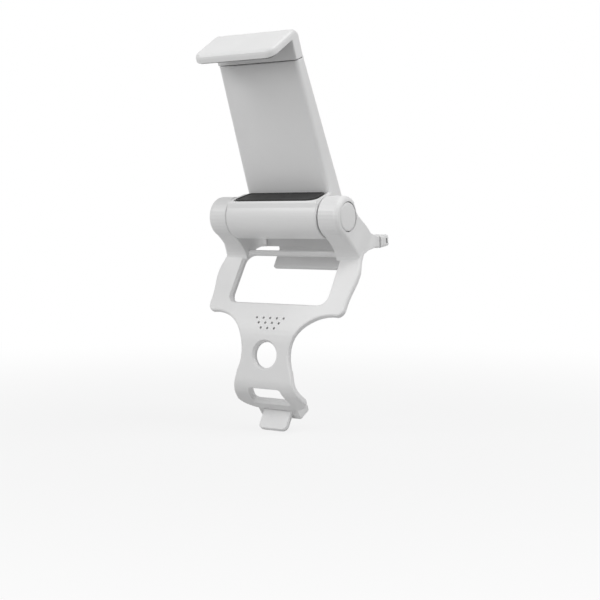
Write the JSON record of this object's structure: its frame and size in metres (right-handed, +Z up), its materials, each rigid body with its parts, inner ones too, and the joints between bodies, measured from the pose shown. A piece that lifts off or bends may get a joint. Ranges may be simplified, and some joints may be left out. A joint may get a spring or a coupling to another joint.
{
  "type": "controller phone clip",
  "caption": "White moulded clip that snaps over a gamepad and carries a sprung phone clamp on a friction hinge.",
  "frame": {"origin": "on the flat underside of the face frame, on the centre line between the touch pad window and the speaker holes", "axes": "+X to the viewer's right along the hinge axis, +Z up as the clip is held in use, +Y away from the viewer; the face leans back about 31 degrees from upright"},
  "size_m": [0.0678, 0.0597, 0.1542],
  "materials": {
    "white_abs": "satin moulded white ABS",
    "pad_rubber": "moulded black rubber",
    "zinc_steel": "zinc plated steel",
    "spring_steel": "drawn spring steel",
    "acetal": "plain acetal"
  },
  "bodies": {
    "bracket": {"face_frame": "white_abs", "rear_hook": "white_abs", "rear_hook_screw_left": "zinc_steel", "rear_hook_screw_right": "zinc_steel", "hinge_bolt": "zinc_steel", "hinge_nut": "zinc_steel", "spring_washer": "spring_steel", "hinge_cap_left": "white_abs", "hinge_cap_right": "white_abs", "friction_washer_left": "acetal", "friction_washer_right": "acetal"},
    "clamp": {"lower_jaw": "white_abs", "lower_pad": "pad_rubber", "back_cover": "white_abs", "cover_screw_1": "zinc_steel", "cover_screw_2": "zinc_steel", "cover_screw_3": "zinc_steel", "cover_screw_4": "zinc_steel", "jaw_spring_left": "spring_steel", "jaw_spring_right": "spring_steel"},
    "upper_jaw": {"upper_jaw": "white_abs", "upper_pad": "pad_rubber"}
  },
  "joints": [
    {"name": "clamp_tilt", "type": "hinge", "parent": "bracket", "child": "clamp", "pos_m": [0, 0.00412, 0.03758], "axis": [1, 0, 0], "range_deg": [-40, 115]},
    {"name": "jaw_slide", "type": "slide", "parent": "clamp", "child": "upper_jaw", "axis": [0, -0.3875, 0.9219], "range_m": [0, 0.028], "stiffness_N_per_m": 250, "springref_m": -0.02, "deforming": ["jaw_spring_left", "jaw_spring_right"]}
  ]
}
